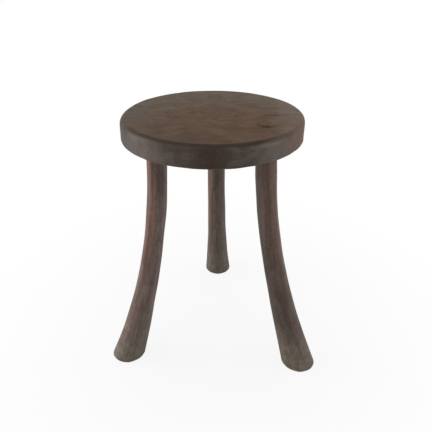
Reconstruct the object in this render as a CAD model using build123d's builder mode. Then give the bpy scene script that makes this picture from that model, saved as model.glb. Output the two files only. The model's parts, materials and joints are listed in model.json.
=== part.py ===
from build123d import *
from math import cos, radians, sin, tan
import os

# A three-legged stool: a round plank seat on three splayed legs with club feet. Each leg ends
# in a round tapered tenon that goes right through the seat and is spread there by a wedge.
#
# Millimetres. The origin is the middle of the sitting face, +Z is up, and the rear leg stands
# towards +Y. Heights are measured from the sitting face, so the floor is at -seat_height.

os.makedirs("parts", exist_ok=True)

# ---- Seat ----------------------------------------------------------------------------------
seat_height = 460.0  # floor to sitting face
seat_diameter = 303.0  # across the underside, where the plank is widest
seat_thickness = 34.8
edge_lean = 1.6  # degrees that the plank's edge leans in towards the sitting face
top_rounding = 8.0  # rounded arris of the sitting face
bottom_rounding = 1.0  # eased arris of the underside

# ---- Legs ----------------------------------------------------------------------------------
shoulder_diameter = 33.6  # leg just under the seat
sole_diameter = 61.8  # club foot at the floor, square to the leg
foot_swell = 3.6  # power of the swelling: the higher, the lower down the foot begins
foot_splay = 21.0  # degrees from upright at the floor; the leg is upright at the seat
sole_rounding = 4.0  # worn edge of the flat sole
leg_sections = 8  # spans between the round sections that shape a leg

# ---- Tenons, sockets and wedges ----------------------------------------------------------------
shoulder_width = 0.8  # step from the leg down to its tenon, which bears on the underside
tenon_lean = 4.5  # degrees from upright that a tenon leans in towards the seat's axis
tenon_narrowing = 1.6  # how much thinner a tenon is at the sitting face than at its root
tenon_end_rounding = 0.5
socket_clearance = 0.05  # all round a tenon
kerf_floor = 7.0  # uncut wood between the underside and the bottom of the kerf
wedge_thickness = 3.2  # at the tenon's end
wedge_tip_thickness = 0.6

# Each leg: its bearing from +X, the distances from the seat's axis to the leg's axis where it
# enters the seat and to the middle of its foot, and how far its tenon stands above the
# sitting face. The legs were shaped and set by eye, so no two are quite the same.
legs = {
    "rear": {"bearing": 89.8, "seat_reach": 103.5, "foot_reach": 190.8, "tenon_proud": 0.0},
    "front_right": {"bearing": -31.0, "seat_reach": 104.2, "foot_reach": 199.6, "tenon_proud": 2.5},
    "front_left": {"bearing": 211.0, "seat_reach": 102.2, "foot_reach": 189.3, "tenon_proud": 0.0},
}

floor = -seat_height
underside = -seat_thickness
leg_drop = underside - floor
tenon_root_radius = shoulder_diameter / 2 - shoulder_width
foot_overrun = sole_diameter * sin(radians(foot_splay))  # how far a leg is made past the floor


def fall(height):
    """Share of the way down from the seat's underside (0) to the floor (1)."""
    return (underside - height) / leg_drop


def leg_radius(height):
    """Slender at the seat, swelling as a power of the fall towards the sole."""
    swelling = (sole_diameter - shoulder_diameter) / 2
    return shoulder_diameter / 2 + swelling * fall(height) ** foot_swell


def outward(leg):
    """Level direction from the seat's axis towards the leg."""
    return Vector(cos(radians(leg["bearing"])), sin(radians(leg["bearing"])), 0)


def leg_plane(leg, height):
    """Plane square to the leg's centreline where that passes this height.

    The centreline's distance from the seat's axis is a cubic in the fall: it leaves the seat
    upright and reaches the floor at foot_reach, leaning outwards by foot_splay.
    """
    u = fall(height)
    spread = leg["foot_reach"] - leg["seat_reach"]
    lean = tan(radians(foot_splay)) * leg_drop
    reach = leg["seat_reach"] + (3 * spread - lean) * u**2 + (lean - 2 * spread) * u**3
    slope = (2 * (3 * spread - lean) * u + 3 * (lean - 2 * spread) * u**2) / leg_drop
    return Plane(
        origin=outward(leg) * reach + Vector(0, 0, height),
        x_dir=Vector(-outward(leg).Y, outward(leg).X, 0),
        z_dir=Vector(0, 0, 1) - outward(leg) * slope,
    )


def tenon_radius(height):
    """Straight taper from the root at the underside, carried on above the sitting face."""
    return tenon_root_radius - tenon_narrowing / 2 * (height - underside) / seat_thickness


def tenon_middle(leg, height):
    """The tenon's axis, which starts where the leg's ends and leans in as it rises.

    What stands above the sitting face is dressed upright, so that it overhangs nothing.
    """
    rise = min(height, 0) - underside
    reach = leg["seat_reach"] - tan(radians(tenon_lean)) * rise
    return outward(leg) * reach + Vector(0, 0, height)


def tenon_sections(leg, top=0.0, clearance=0.0):
    """Round sections of the oblique tenon, or of its socket, from the underside to the top."""
    sections = []
    for height in sorted({underside, 0.0, top}):
        with BuildSketch(Plane(tenon_middle(leg, height))) as section:
            Circle(tenon_radius(height) + clearance)
        sections.append(section.sketch)
    return sections


def wedge_outline(leg):
    """Corners of the wedge, and so of the kerf it fills, seen along the seat's Y."""
    bottom, top = underside + kerf_floor, leg["tenon_proud"]
    tip_x, end_x = tenon_middle(leg, bottom).X, tenon_middle(leg, top).X
    return [
        (tip_x - wedge_tip_thickness / 2, bottom),
        (tip_x + wedge_tip_thickness / 2, bottom),
        (end_x + wedge_thickness / 2, top),
        (end_x - wedge_thickness / 2, top),
    ]


def wedge_plane(leg):
    """Upright plane along the seat's X through the tenon.

    The seat's grain runs along X, and every wedge lies across it, along Y.
    """
    return Plane(origin=(0, tenon_middle(leg, underside).Y, 0), x_dir=(1, 0, 0), z_dir=(0, -1, 0))


# ---- Seat ----------------------------------------------------------------------------------
with BuildPart() as seat:
    with BuildSketch(Plane.XY.offset(underside)):
        Circle(seat_diameter / 2)
    extrude(amount=seat_thickness, taper=edge_lean)
    fillet(seat.edges().group_by(Axis.Z)[-1], top_rounding)
    fillet(seat.edges().group_by(Axis.Z)[0], bottom_rounding)
    for leg in legs.values():
        loft(tenon_sections(leg, clearance=socket_clearance), mode=Mode.SUBTRACT)

seat.part.label = "seat"
export_step(seat.part, "parts/seat.step")


# ---- Legs, each with its kerfed tenon ------------------------------------------------------------
for name, leg in legs.items():
    heights = [underside - leg_drop * step / leg_sections for step in range(leg_sections + 1)]
    heights.append(floor - foot_overrun)
    with BuildPart() as leg_piece:
        for height in heights:
            with BuildSketch(leg_plane(leg, height)):
                Circle(leg_radius(height))
        loft()
        split(bisect_by=Plane.XY.offset(floor), keep=Keep.TOP)
        fillet(leg_piece.edges().group_by(Axis.Z)[0], sole_rounding)
        loft(tenon_sections(leg, leg["tenon_proud"]), ruled=True)
        if leg["tenon_proud"] > 0:
            fillet(leg_piece.edges().group_by(Axis.Z)[-1], tenon_end_rounding)
        with BuildSketch(wedge_plane(leg)):
            Polygon(*wedge_outline(leg), align=None)
        extrude(amount=shoulder_diameter, both=True, mode=Mode.SUBTRACT)
    leg_piece.part.label = f"leg_{name}"
    export_step(leg_piece.part, f"parts/leg_{name}.step")


# ---- Wedges, trimmed to the round of their tenons --------------------------------------------------
for name, leg in legs.items():
    with BuildPart() as wedge:
        with BuildSketch(wedge_plane(leg)):
            Polygon(*wedge_outline(leg), align=None)
        extrude(amount=shoulder_diameter, both=True)
        loft(tenon_sections(leg, leg["tenon_proud"]), ruled=True, mode=Mode.INTERSECT)
        if leg["tenon_proud"] > 0:
            top_edges = wedge.edges().group_by(Axis.Z)[-1]
            fillet(top_edges.filter_by(GeomType.LINE, reverse=True), tenon_end_rounding)
    wedge.part.label = f"wedge_{name}"
    export_step(wedge.part, f"parts/wedge_{name}.step")
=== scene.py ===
# %% [markdown]
# # A three-legged Lobi stool
#
# The real stool is a round plank on three legs. Each leg is a billet that bends outwards and
# swells into a club foot. Its upper end is a round tenon, which goes right through the plank
# and is spread there by a wedge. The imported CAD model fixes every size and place, so it is
# loaded first. The lesson then carves, over that frame, the surfaces that the eye sees.

# %% Load the frame
import json
import math

import bmesh
import bpy
import numpy as np
from mathutils import Matrix, Vector


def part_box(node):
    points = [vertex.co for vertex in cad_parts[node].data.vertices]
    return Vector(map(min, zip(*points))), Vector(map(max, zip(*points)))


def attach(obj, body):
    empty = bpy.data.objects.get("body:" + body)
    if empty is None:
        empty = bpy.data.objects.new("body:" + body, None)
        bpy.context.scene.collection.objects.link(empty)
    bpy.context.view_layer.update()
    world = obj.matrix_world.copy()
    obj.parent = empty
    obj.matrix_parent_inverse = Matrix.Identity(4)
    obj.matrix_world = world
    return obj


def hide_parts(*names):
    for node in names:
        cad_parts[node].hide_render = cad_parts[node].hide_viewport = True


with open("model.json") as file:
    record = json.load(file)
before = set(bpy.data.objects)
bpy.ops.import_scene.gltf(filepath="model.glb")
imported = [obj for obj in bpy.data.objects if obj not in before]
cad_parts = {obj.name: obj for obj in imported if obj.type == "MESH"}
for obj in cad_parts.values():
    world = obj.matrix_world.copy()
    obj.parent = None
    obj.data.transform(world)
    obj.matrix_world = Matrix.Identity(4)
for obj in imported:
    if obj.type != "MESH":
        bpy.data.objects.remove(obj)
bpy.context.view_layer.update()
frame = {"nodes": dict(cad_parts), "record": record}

# %% [markdown]
# ## Sizes
#
# Heights and places come from the boxes of the CAD nodes and from the mounts under the feet,
# so the carved surfaces follow the frame if it changes. A few sizes can't be read from a box:
# where a leg enters the seat, how thick it is at each end, how it swells, and how its tenon
# leans and tapers. They are named here with the values that the construction has.

# %% Sizes from the frame
MM = 0.001
seat_low, seat_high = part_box("seat")
SEAT_RADIUS = (seat_high.x - seat_low.x) / 2
FACE = seat_high.z
UNDERSIDE = seat_low.z
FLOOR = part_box("leg_rear")[0].z
LEG_DROP = UNDERSIDE - FLOOR
mounts = {mount["name"]: mount["pos_m"] for mount in frame["record"]["mounts"]}


def read_leg(name, seat_reach, seed, girth):
    """Where one leg stands: its foot from its mount, its kerf's height from its wedge's box.

    seat_reach is how far from the seat's axis the leg enters the seat, and girth is how much
    thicker than planned it was left along its middle, as a share.
    """
    low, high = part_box(f"wedge_{name}")
    foot = mounts[f"foot_{name}"]
    return {
        "name": name,
        "bearing": math.atan2(foot[1], foot[0]),
        "circle": seat_reach,
        "reach": math.hypot(foot[0], foot[1]),
        "tenon_top": high.z,
        "kerf_bottom": low.z,
        "seed": seed,
        "girth": girth,
    }


LEGS = {
    "rear": read_leg("rear", seat_reach=103.5 * MM, seed=11, girth=0.035),
    "front_right": read_leg("front_right", seat_reach=104.2 * MM, seed=23, girth=0.045),
    "front_left": read_leg("front_left", seat_reach=102.2 * MM, seed=37, girth=0.0),
}
print("Seat radius and thickness, mm:", round(SEAT_RADIUS / MM, 1), round((FACE - UNDERSIDE) / MM, 1))

# %% Sizes of the construction
EDGE_LEAN = math.radians(1.6)
TOP_ROUNDING = 8.0 * MM
BOTTOM_ROUNDING = 1.0 * MM
SHOULDER_RADIUS = 16.8 * MM
SOLE_RADIUS = 30.9 * MM
FOOT_SWELL = 3.6
FOOT_SPLAY = math.radians(21.0)
SOLE_ROUNDING = 4.0 * MM
TENON_ROOT_RADIUS = 16.0 * MM
TENON_NARROWING = 1.6 * MM
TENON_LEAN = math.tan(math.radians(4.5))  # inwards for each unit upwards
WEDGE_TOP, WEDGE_TIP = 3.2 * MM, 0.6 * MM


def tenon_radius(height):
    """Straight taper: the root's radius, less half the narrowing for each plank's thickness."""
    return TENON_ROOT_RADIUS - TENON_NARROWING / 2 * (height - UNDERSIDE) / (FACE - UNDERSIDE)


def tenon_middle(leg, height):
    """x and y of the tenon's axis, which leans in as it rises, as far as the sitting face."""
    reach = leg["circle"] - TENON_LEAN * (min(height, FACE) - UNDERSIDE)
    return reach * math.cos(leg["bearing"]), reach * math.sin(leg["bearing"])


print("Tenon at the sitting face, mm across:", round(2 * tenon_radius(FACE) / MM, 2))

# %% [markdown]
# ## From grids of points to a closed piece
#
# Every piece is a few sheets, and each sheet is a grid: rows and columns of points worked out
# by a formula. Where two sheets meet, their edge points are the same, so welding them closes
# the piece. Boolean cuts could shape it too, but they leave long thin faces along their joints,
# and those shade badly. Beside its place, a point may carry three more numbers, its place in
# the straight wood before any bending, which the wood's figure is later drawn on.

# %% Weld grids into a piece
WELD = 0.002 * MM
SHARP = math.radians(38)


def grid_faces(rows, columns, start):
    """The four corners of each cell of a grid, as indices counted from start."""
    corner = start + np.arange((rows - 1) * columns).reshape(rows - 1, columns)[:, :-1].ravel()
    return np.stack([corner, corner + 1, corner + columns + 1, corner + columns], axis=1)


def make_piece(name, sheets):
    """Joins sheets of shape (rows, columns, 3 or 6) into one closed, outward-facing piece."""
    faces, start = [], 0
    for sheet in sheets:
        faces.append(grid_faces(sheet.shape[0], sheet.shape[1], start))
        start += sheet.shape[0] * sheet.shape[1]
    points = np.concatenate([sheet.reshape(-1, sheet.shape[2]) for sheet in sheets])
    mesh = bpy.data.meshes.new(name)
    mesh.from_pydata(points[:, :3].tolist(), [], np.concatenate(faces).tolist())
    if points.shape[1] == 6:
        straight = mesh.attributes.new("straight_wood", "FLOAT_VECTOR", "POINT")
        straight.data.foreach_set("vector", points[:, 3:].astype(np.float32).ravel())
    shell = bmesh.new()
    shell.from_mesh(mesh)
    bmesh.ops.remove_doubles(shell, verts=shell.verts, dist=WELD)
    bmesh.ops.recalc_face_normals(shell, faces=shell.faces)
    open_edges = sum(len(edge.link_faces) != 2 for edge in shell.edges)
    shell.to_mesh(mesh)
    shell.free()
    mesh.shade_smooth()
    mesh.set_sharp_from_angle(angle=SHARP)
    piece = bpy.data.objects.new(name, mesh)
    bpy.context.scene.collection.objects.link(piece)
    print(name, "faces:", len(mesh.polygons), "open edges:", open_edges)
    return piece


print("Corners of the cells of a 2 by 3 grid:", grid_faces(2, 3, 0).tolist())

# %% [markdown]
# Nothing carved by hand is even. A Displace modifier could roughen a finished piece, but it
# would also move the places where pieces fit. So the unevenness comes from one function, which
# the formulas below use where it is wanted. It is smooth and bends the light softly, as worn
# wood does. Each use has a seed of its own, so the stool comes out the same every time.

# %% Hand-made unevenness
def ripple(points, wavelength, seed, waves=16):
    """Soft unevenness, mostly between -1 and 1.

    It is the sum of sine waves that run in random directions through space, each 0.7 to 1.5
    wavelengths long, divided by the root of twice their number.
    """
    rng = np.random.default_rng(seed)
    heading = rng.normal(size=(waves, 3))
    heading /= np.linalg.norm(heading, axis=1, keepdims=True)
    wave = heading * 2 * np.pi / (wavelength * rng.uniform(0.7, 1.5, (waves, 1)))
    shift = rng.uniform(0, 2 * np.pi, waves)
    return np.sin(points @ wave.T + shift).sum(axis=-1) / math.sqrt(2 * waves)


slanting = np.linspace(0, 0.1, 5)[:, None] * np.ones(3)
print("Ripple along a slanting line:", np.round(ripple(slanting, wavelength=0.03, seed=1), 2))

# %% [markdown]
# ## The legs
#
# A curve with a round bevel could make such a leg, but not its worn sole or the saw cut in its
# tenon. Here it starts as a straight round billet, and every point of that has three straight
# coordinates: how far outwards and how far sideways it lies from the middle of the wood, and
# how far down. Bending carries those three to the point's real place. The shape is therefore
# found in two easy steps instead of one hard one, and the straight coordinates are kept, for
# the fibres of the wood bend with the leg.

# %% Bend a straight billet
EARLIEST, LATEST, HALVINGS = 0.6, 1.4, 40  # falls between which a leg meets the floor


def bend(leg, out, side, fall):
    """Place and straight coordinates of points of the billet.

    fall is 0 at the seat's underside and 1 at the floor. The middle of the leg lies at a
    distance from the seat's axis that is a cubic in the fall: it leaves the seat upright and
    meets the floor at the foot's reach with the foot's splay. out is laid off square to it.
    Above the underside, where fall is negative, the tenon leans in evenly instead, up to the
    sitting face, and what stands above the face is upright.
    The seed, as metres along the wood, gives every leg a figure of its own.
    """
    down, up = np.maximum(fall, 0.0), np.clip(-fall * LEG_DROP, 0.0, FACE - UNDERSIDE)
    spread = leg["reach"] - leg["circle"]
    lean = math.tan(FOOT_SPLAY) * LEG_DROP
    square, cube = 3 * spread - lean, lean - 2 * spread
    tilt = np.arctan((2 * square * down + 3 * cube * down**2) / LEG_DROP)
    middle = leg["circle"] + square * down**2 + cube * down**3 - TENON_LEAN * up
    reach = middle + out * np.cos(tilt)
    height = UNDERSIDE - LEG_DROP * fall + out * np.sin(tilt)
    x = reach * math.cos(leg["bearing"]) - side * math.sin(leg["bearing"])
    y = reach * math.sin(leg["bearing"]) + side * math.cos(leg["bearing"])
    along = leg["seed"] + LEG_DROP * fall
    return np.stack(np.broadcast_arrays(x, y, height, out, side, along), axis=-1)


def fall_to(height_at, height):
    """The fall at which height_at comes down to a height, by halving an interval of falls."""
    low, high = np.full(np.shape(height), EARLIEST), np.full(np.shape(height), LATEST)
    for _ in range(HALVINGS):
        middle = (low + high) / 2
        above = height_at(middle) > height
        low, high = np.where(above, middle, low), np.where(above, high, middle)
    return (low + high) / 2


print("A foot's middle, metres:", np.round(bend(LEGS["rear"], 0.0, 0.0, np.array(1.0))[:3], 4))

# %% [markdown]
# A knife leaves soft flats that run down the leg and wander a little, and no billet is evenly
# thick. Both are small waves added to the radius. They die out just under the seat, where the
# shoulder was cut true to seat against the plank.

# %% Thickness of a leg
KNIFE_FLATS, FLAT_DEPTH = 9, 0.16 * MM
FLAT_WANDER, WANDER_PACE = 1.5, 4.0  # radians, of the flats round the leg and down it
UNEVEN_DEPTH, UNEVEN_LENGTH = 0.45 * MM, 75 * MM
FOOT_CALM = 0.6  # share of the unevenness that the club foot lacks
TRUE_SHARE = 0.05  # of the way down, over which flats and waves grow
THICKENED_BY = 0.12  # of the way down, where a leg has all its extra girth
SOLE_WORN = 0.9 * MM


def leg_radius(leg, fall, angle):
    """Shoulder radius plus a power of the fall for the club foot, with flats and waves on it.

    The extra girth is lost again by the fourth power of the fall. Towards the sole the waves
    grow calmer by its sixth power, and the wood is worn away by its tenth.
    """
    down = np.maximum(fall, 0.0)
    plain = SHOULDER_RADIUS + (SOLE_RADIUS - SHOULDER_RADIUS) * down**FOOT_SWELL
    plain = plain * (1 + leg["girth"] * np.clip(down / THICKENED_BY, 0, 1) * (1 - down**4))
    flats = np.cos(KNIFE_FLATS * angle + FLAT_WANDER * np.sin(WANDER_PACE * down + leg["seed"]))
    around = np.broadcast_arrays(plain * np.cos(angle), plain * np.sin(angle), LEG_DROP * down)
    uneven = UNEVEN_DEPTH * ripple(np.stack(around, axis=-1), UNEVEN_LENGTH, leg["seed"])
    fade = np.clip(down / TRUE_SHARE, 0, 1)
    worn = SOLE_WORN * np.clip(down, 0, 1) ** 10
    return plain - worn + fade * (FLAT_DEPTH * flats + uneven * (1 - FOOT_CALM * down**6))


halfway_down = float(leg_radius(LEGS["rear"], np.array(0.5), np.array(0.0)))
print("Radius of the rear leg halfway down, mm:", round(halfway_down / MM, 2))

# %% [markdown]
# The columns of a leg's grid run from the sole up to the tenon's end, where they have to meet
# the kerf, the saw cut for the wedge. So the angles are spaced evenly, and four more are added
# where the kerf's two edges and its narrow bottom cross the rim.

# %% Columns round a leg
HALF_COLUMNS = 60


def half_turn(leg):
    """Angles from 0 to a half turn, among them those where the kerf's lines meet the rim."""
    lines = np.array([WEDGE_TOP, WEDGE_TIP]) / 2 / tenon_radius(leg["tenon_top"])
    kerf = np.arccos(np.concatenate([lines, -lines]))
    return np.unique(np.concatenate([np.linspace(0, np.pi, HALF_COLUMNS + 1), kerf]))


def full_turn(half):
    """The half turn, then its mirror image back to the start."""
    return np.concatenate([half, 2 * np.pi - half[::-1][1:]])


print("Columns round a leg:", len(full_turn(half_turn(LEGS["rear"]))))

# %% [markdown]
# The flank ends a little above the floor, and a parabolic corner carries it into the sole. The
# sole is worn flat at its rim and very slightly hollow inside, as a foot that has stood on
# earth floors is.

# %% Flank, worn corner and sole
FLANK_ROWS = 150
CORNER_ROWS = 9
SOLE_ROWS = 12
SOLE_HOLLOW = 0.4 * MM
MEAN_WEAR, OUTER_WEAR = 1.2, 0.35  # of the sole's rounding, and how much more on the outer side
WIDE_WEAR, NARROW_WEAR = 0.2, 0.1  # as two waves and as five waves round the sole


def leg_flank(leg, turn):
    """Sheets of the leg below the seat: flank, corner and sole, each rows by columns.

    The wear varies with the cosine of the angle from the outer side and with two small waves.
    The corner is a parabola. It starts on the flank, as high above the floor as the wear, and
    ends on the sole, as far in from the tip where the flank would meet the floor. The hollow
    of the sole is deepest in the middle, and less by the square of the way out.
    """
    angle = turn - leg["bearing"]

    def skin(fall):
        radius = leg_radius(leg, fall, turn)
        return radius * np.cos(angle), radius * np.sin(angle)

    def skin_height(fall):
        return bend(leg, skin(fall)[0], 0.0, fall)[..., 2]

    uneven = WIDE_WEAR * np.sin(2 * turn + leg["seed"]) + NARROW_WEAR * np.sin(5 * turn)
    wear = SOLE_ROUNDING * (MEAN_WEAR + OUTER_WEAR * np.cos(angle) + uneven)
    floor = np.full(turn.shape, FLOOR)
    trim = fall_to(skin_height, floor + wear)
    tip = fall_to(skin_height, floor)
    share = np.linspace(0, 1, FLANK_ROWS + 1)[:, None]
    flank = bend(leg, *skin(share * trim), share * trim)

    def on_floor(out, lift):
        return fall_to(lambda fall: bend(leg, out, 0.0, fall)[..., 2], FLOOR + lift)

    tip_out, tip_side = skin(tip)
    inset = 1 - wear / leg_radius(leg, tip, turn)
    rim_fall = on_floor(tip_out * inset, 0 * floor)
    t = np.linspace(0, 1, CORNER_ROWS + 1)[:, None]

    def corner_curve(first, middle, last):
        return (1 - t) ** 2 * first + 2 * t * (1 - t) * middle + t**2 * last

    trim_out, trim_side = skin(trim)
    corner = bend(
        leg,
        corner_curve(trim_out, tip_out, tip_out * inset),
        corner_curve(trim_side, tip_side, tip_side * inset),
        corner_curve(trim, tip, rim_fall),
    )
    inwards = np.linspace(1, 0, SOLE_ROWS + 1)[:, None]
    out, side = inwards * inset * tip_out, inwards * inset * tip_side
    sole = bend(leg, out, side, on_floor(out, SOLE_HOLLOW * (1 - inwards**2) + 0 * out))
    return [flank, corner, sole]


rear_sheets = leg_flank(LEGS["rear"], full_turn(half_turn(LEGS["rear"])))
print("Rows of flank, corner and sole:", [sheet.shape[0] for sheet in rear_sheets])

# %% [markdown]
# Above the shoulder stands the tenon. It leans in towards the seat's axis as far as the
# sitting face, and what stands proud of the face is upright. Its end is a sheet whose columns
# run parallel to the kerf, so the kerf is simply a group of columns that dip: they slope down
# from its edges and lie flat along its bottom. The wall of the tenon rises to whatever height
# the end has there.

# %% Tenon with its kerf
TENON_ROWS = 14
END_ROWS = 32
# The worn edge of a tenon's end, the crown of the end and its slope.
FLUSH_END = (0.25 * MM, 0.05 * MM, 0.0)
PROUD_END = (1.7 * MM, 0.25 * MM, 0.03)
KERF_SHARE = 0.999  # columns nearer to the kerf's middle than this share of its half width dip


def end_height(leg, x, y):
    """Height of the tenon's end.

    It is a flat, less a crown that grows with the square of the distance from the axis, less a
    quarter-round at the edge. A proud end was sawn by eye, so it also slopes, and is lowest at
    its right.
    """
    edge, crown, slope = PROUD_END if leg["tenon_top"] > FACE + MM else FLUSH_END
    radius = tenon_radius(leg["tenon_top"])
    from_axis = np.hypot(x, y)
    into_edge = np.clip((from_axis - radius + edge) / edge, 0, 1)
    worn = crown * (from_axis / radius) ** 2 + slope * (x + radius)
    return leg["tenon_top"] - worn - edge * (1 - np.sqrt(1 - into_edge**2))


def upright(leg, x, y, height):
    """Points of the tenon, given by their place round its axis, with straight coordinates."""
    cos, sin = math.cos(leg["bearing"]), math.sin(leg["bearing"])
    return bend(leg, x * cos + y * sin, y * cos - x * sin, (UNDERSIDE - height) / LEG_DROP)


def leg_tenon(leg, half):
    """Sheets of the shoulder, the tenon's wall and its end.

    The end's columns stand at the cosines of the half turn, and its rows run from the rim on
    one side to the rim on the other. The wall rises evenly to the height of that rim.
    """
    top_radius = tenon_radius(leg["tenon_top"])
    across = top_radius * np.cos(half)
    half_top, half_tip = WEDGE_TOP / 2, WEDGE_TIP / 2
    slope = np.clip((np.abs(across) - half_tip) / (half_top - half_tip), 0, 1)
    kerf = leg["kerf_bottom"] + slope * (leg["tenon_top"] - leg["kerf_bottom"])
    in_kerf = np.abs(across) < half_top * KERF_SHARE
    rim_radius = np.where(in_kerf, tenon_radius(kerf), top_radius)
    along = np.cos(np.linspace(0, np.pi, END_ROWS + 1))[:, None]
    x = rim_radius * np.cos(half) + 0 * along
    y = rim_radius * np.sin(half) * along
    end_z = np.where(in_kerf, kerf, end_height(leg, x, y))
    end = upright(leg, x, y, end_z)
    turn = full_turn(half)
    rim_z = np.concatenate([end_z[0], end_z[0][::-1][1:]])
    rim = np.concatenate([rim_radius, rim_radius[::-1][1:]])
    share = np.linspace(0, 1, TENON_ROWS + 1)[:, None]
    wall_z = UNDERSIDE + share * (rim_z - UNDERSIDE)
    radius = TENON_ROOT_RADIUS + share * (rim - TENON_ROOT_RADIUS)
    wall = upright(leg, radius * np.cos(turn), radius * np.sin(turn), wall_z)
    step = np.array([SHOULDER_RADIUS, TENON_ROOT_RADIUS])[:, None]
    shoulder = upright(leg, step * np.cos(turn), step * np.sin(turn), UNDERSIDE + 0 * step * turn)
    return [shoulder, wall, end]


kerf_depth = LEGS["rear"]["tenon_top"] - LEGS["rear"]["kerf_bottom"]
print("Depth of the rear tenon's kerf, mm:", round(kerf_depth / MM, 1))

# %% [markdown]
# A leg is now six sheets: flank, corner and sole below the seat, and shoulder, wall and end
# above. Welding makes one closed piece of them.

# %% Make the three legs
def make_leg(name):
    """One leg with its tenon."""
    leg = LEGS[name]
    half = half_turn(leg)
    return make_piece(f"{name}_leg", leg_flank(leg, full_turn(half)) + leg_tenon(leg, half))


leg_pieces = {name: make_leg(name) for name in LEGS}

# %% [markdown]
# ## The wedges
#
# A wedge is split from a denser wood, thin at its tip and driven across the seat's grain. It
# is a cube whose points are moved: the formula takes a point of the cube to a point of the
# wedge, and the six faces of the cube become its six sides. Its ends follow the tenon's round
# and its top lies a hair below the tenon's end, where it was pared off.

# %% Warp a cube into a wedge
WEDGE_SINK, WEDGE_SLACK = 0.03 * MM, 0.03 * MM
WEDGE_CELLS = (6, 40, 10)  # across its thickness, its length and its height


def cube_sheets(cells):
    """The six faces of a cube from -1 to 1, as grids of points with three coordinates."""
    sheets = []
    for fixed in range(3):
        first, second = [axis for axis in range(3) if axis != fixed]
        grid = np.meshgrid(
            np.linspace(-1, 1, cells[first] + 1), np.linspace(-1, 1, cells[second] + 1), indexing="ij"
        )
        for side in (-1.0, 1.0):
            sheet = np.full(grid[0].shape + (3,), side)
            sheet[..., first], sheet[..., second] = grid
            sheets.append(sheet)
    return sheets


def make_wedge(name):
    """One wedge, as a cube whose points are warped."""
    leg = LEGS[name]

    def warp(cube):
        """Thickness grows evenly from tip to top; length is the chord of the tenon there."""
        rise = (cube[..., 2] + 1) / 2
        straight_z = leg["kerf_bottom"] + rise * (leg["tenon_top"] - leg["kerf_bottom"])
        thickness = WEDGE_TIP + rise * (WEDGE_TOP - WEDGE_TIP) - 2 * WEDGE_SLACK
        x = cube[..., 0] * thickness / 2
        y = cube[..., 1] * np.sqrt((tenon_radius(straight_z) - WEDGE_SLACK) ** 2 - x**2)
        top = end_height(leg, x, y) - WEDGE_SINK
        z = leg["kerf_bottom"] + rise * (top - leg["kerf_bottom"])
        return upright(leg, x, y, z)

    return make_piece(f"{name}_wedge", [warp(cube) for cube in cube_sheets(WEDGE_CELLS)])


wedge_pieces = {name: make_wedge(name) for name in LEGS}

# %% [markdown]
# ## The seat
#
# The sitting face was dished by years of sitting. Long waves are left on it from the adze, and
# fine marks from the scraper, drawn out along the grain. Round each tenon it stays flat, for
# there it was dressed flush with the tenon's end. The underside was left rougher. Both could be
# sculpted, but each is simply a height over the plane of X and Y, so a function of those two
# says it more plainly.

# %% Height of the sitting face and of the underside
FACE_WAVE, FACE_WAVE_LENGTH = 0.22 * MM, 60 * MM
SCRAPE, SCRAPE_WIDTH, SCRAPE_STRETCH = 0.05 * MM, 16 * MM, 4  # drawn out along the grain
SEAT_DISH, DISH_REACH = 0.7 * MM, 80 * MM
UNDER_WAVE, UNDER_WAVE_LENGTH = 0.25 * MM, 30 * MM
THINNER_LEFT, MARGIN_START, MARGIN_WIDTH = 0.5 * MM, 124 * MM, 22 * MM
HAIRLINE = 0.05 * MM
SOCKET_EASE, SOCKET_EASE_WIDTH = 0.18 * MM, 0.5 * MM


def from_rim(leg, x, y, height):
    """How far points lie from the rim of the socket at a height."""
    middle = tenon_middle(leg, height)
    return np.hypot(x - middle[0], y - middle[1]) - tenon_radius(height) - HAIRLINE


def calm_near_tenons(x, y, height, width=12 * MM):
    """0 at each socket's rim and 1 once a point is a width away from it."""
    calm = np.ones(np.shape(x))
    for leg in LEGS.values():
        calm = np.minimum(calm, np.clip(from_rim(leg, x, y, height) / width, 0, 1))
    return calm * calm * (3 - 2 * calm)


def face_height(x, y):
    """A flat, less a bell-shaped dish worn by sitting, less long waves and scraper marks."""
    flat = np.stack([x, y, 0 * x], axis=-1)
    drawn_out = np.stack([x / SCRAPE_STRETCH, y, 0 * x], axis=-1)
    dish = SEAT_DISH * np.exp(-((x**2 + y**2) / DISH_REACH**2))
    waves = FACE_WAVE * (1 + ripple(flat, FACE_WAVE_LENGTH, seed=3))
    scrapes = SCRAPE * (1 + ripple(drawn_out, SCRAPE_WIDTH, seed=4))
    return FACE - calm_near_tenons(x, y, FACE) * (dish + waves + scrapes)


def under_height(x, y):
    """The underside, left rougher from the adze, and pared thinner at its left margin."""
    flat = np.stack([x, y, 0 * x], axis=-1)
    waves = UNDER_WAVE * (1 + ripple(flat, UNDER_WAVE_LENGTH, seed=5))
    margin = np.clip((np.hypot(x, y) - MARGIN_START) / MARGIN_WIDTH, 0, 1)
    thinner = THINNER_LEFT * margin * (0.5 - 0.5 * x / SEAT_RADIUS)
    return UNDERSIDE + calm_near_tenons(x, y, UNDERSIDE) * waves + thinner


dip = FACE - float(face_height(np.array(0.0), np.array(0.0)))
print("How far the middle of the face lies below its rim, mm:", round(dip / MM, 2))

# %% [markdown]
# The plank was cut round by eye. It is a little oval, a little fuller at the left, and its
# edge keeps shallow waves from the knife. The wall leans in as far as the construction says,
# and the upper arris is worn rounder on one side than on the other.

# %% Outline of the plank
OVAL, OVAL_TURN = 0.45 * MM, 0.3
FULLER, FULLER_BEARING = 0.35 * MM, math.radians(165)
EDGE_WAVE = 0.3 * MM
# Waves round the edge: how many, where they start, and their share of the edge's wave.
KNIFE_WAVES = [(3, 0.8, 0.5), (5, 2.1, 0.35), (13, 0.3, 0.2), (29, 1.9, 0.15)]
ROUNDER_SHARE, ROUNDER_ACROSS = 0.2, math.radians(37)
ROUNDING_WAVES, ROUNDING_WAVE = 9, 0.05


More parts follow.
